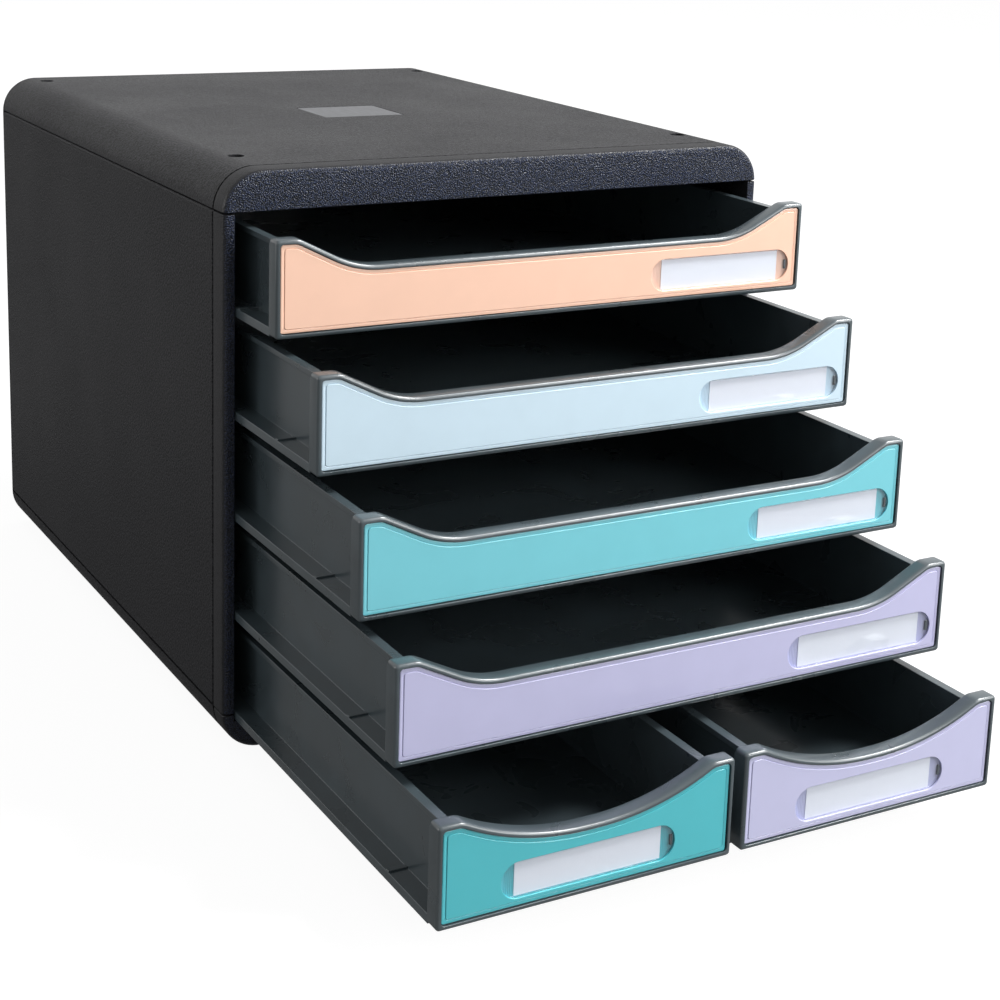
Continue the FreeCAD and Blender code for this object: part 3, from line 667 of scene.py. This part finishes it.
passing = add(tree, "Math", {0: path.outputs["Is Shadow Ray"], 1: path.outputs["Is Diffuse Ray"]},
              operation="MAXIMUM")
lit_through = add(tree, "MixShader", {"Fac": passing.outputs["Value"]})
tree.links.new(skin.outputs["BSDF"], lit_through.inputs[1])
tree.links.new(clear.outputs["BSDF"], lit_through.inputs[2])
add(tree, "OutputMaterial", {"Surface": lit_through.outputs["Shader"]})
for name in DRAWERS:
    low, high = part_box(name + "_lens")
    lens = bmesh.new()
    round_ended(lens, (low + high) / 2, high.x - low.x, high.z - low.z, low.y, high.y - AIR)
    lens = piece(name + "_window_lens", lens, name, "clear_lens", CLEAR_STYRENE, name + "_lens")
    soften(lens, 0.25 * MM)

# --- Studio ----------------------------------------------------------------------------------------------
# A pale floor under a white surround; a soft light from the front right, a strong one high on the right
# and a weak one low on the left. Camera and mirror rays see the floor and the surround brighter than
# they light the drawers, so the backdrop is white while the shadow stays.
FLOOR_REACH, FLOOR_CLEARANCE = 6, 0.05 * MM
FLOOR_SEEN, FLOOR_MIRRORED = 0.93, 0.15
SKY_LIGHT, SKY_SEEN = 0.30, 1.0
FLOOR_WHITE, tree = new_material("white_studio_floor")
path = add(tree, "LightPath")
matt = add(tree, "BsdfDiffuse", {"Color": linear("7c7c7c")})
mirrored = add(tree, "Math", {0: path.outputs["Is Glossy Ray"], 1: FLOOR_MIRRORED}, operation="MULTIPLY")
seen = add(tree, "Math", {0: path.outputs["Is Camera Ray"], 1: FLOOR_SEEN, 2: mirrored.outputs["Value"]},
           operation="MULTIPLY_ADD")
lift = add(tree, "Emission", {"Color": (1, 1, 1, 1), "Strength": seen.outputs["Value"]})
both = add(tree, "AddShader")
tree.links.new(matt.outputs["BSDF"], both.inputs[0])
tree.links.new(lift.outputs["Emission"], both.inputs[1])
add(tree, "OutputMaterial", {"Surface": both.outputs["Shader"]})
floor = bmesh.new()
bmesh.ops.create_grid(floor, x_segments=1, y_segments=1, size=FLOOR_REACH,
                      matrix=Matrix.Translation((0, 0, FEET_LOW.z - FLOOR_CLEARANCE)))
mesh = bpy.data.meshes.new("studio_floor")
floor.to_mesh(mesh)
floor.free()
mesh.materials.append(FLOOR_WHITE)
floor = bpy.data.objects.new("studio_floor", mesh)
bpy.context.scene.collection.objects.link(floor)

world = bpy.data.worlds.new("white_surround")
bpy.context.scene.world = world
world.use_nodes = True
tree = world.node_tree
tree.nodes.clear()
path = add(tree, "LightPath")
seen = add(tree, "Math", {0: path.outputs["Is Camera Ray"], 1: path.outputs["Is Transmission Ray"]},
           operation="MAXIMUM")
seen = add(tree, "Math", {0: seen.outputs["Value"], 1: path.outputs["Is Glossy Ray"]}, operation="MAXIMUM")
strength = add(tree, "MapRange", {"Value": seen.outputs["Value"], "To Min": SKY_LIGHT, "To Max": SKY_SEEN})
sky = add(tree, "Background", {"Color": (1, 1, 1, 1), "Strength": strength.outputs["Result"]})
add(tree, "OutputWorld", {"Surface": sky.outputs["Background"]})

aim = Vector((0, -0.15, 0.12))
for name, place, width, height, power in (("softbox_front_right", (0.95, -1.35, 0.6), 0.8, 0.7, 14.5),
                                          ("softbox_high_right", (1.35, -0.8, 1.85), 1.0, 0.6, 76),
                                          ("softbox_left", (-2.1, 0.7, 0.5), 0.9, 0.9, 8.5)):
    lamp = bpy.data.lights.new(name, "AREA")
    lamp.shape, lamp.size, lamp.size_y, lamp.energy = "RECTANGLE", width, height, power
    lamp = bpy.data.objects.new(name, lamp)
    lamp.location = place
    lamp.rotation_euler = (aim - lamp.location).to_track_quat("-Z", "Y").to_euler()
    bpy.context.scene.collection.objects.link(lamp)

FOCAL_LENGTH, SENSOR_WIDTH, LENS_SHIFT, CAMERA_ROLL = 69.87, 36, -0.20, radians(1.887)
CAMERA_PLACE, CAMERA_TARGET = Vector((-0.43345, -0.93324, 0.39822)), Vector((0.00414, -0.160, 0.19539))
optics = bpy.data.cameras.new("camera")
optics.lens, optics.sensor_width, optics.shift_y = FOCAL_LENGTH, SENSOR_WIDTH, LENS_SHIFT
camera = bpy.data.objects.new("camera", optics)
camera.location = CAMERA_PLACE
look = (CAMERA_TARGET - CAMERA_PLACE).to_track_quat("-Z", "Y")
camera.rotation_euler = (look @ Quaternion((0, 0, 1), CAMERA_ROLL)).to_euler()
bpy.context.scene.collection.objects.link(camera)
bpy.context.scene.camera = camera
bpy.context.scene.view_settings.view_transform = "Standard"
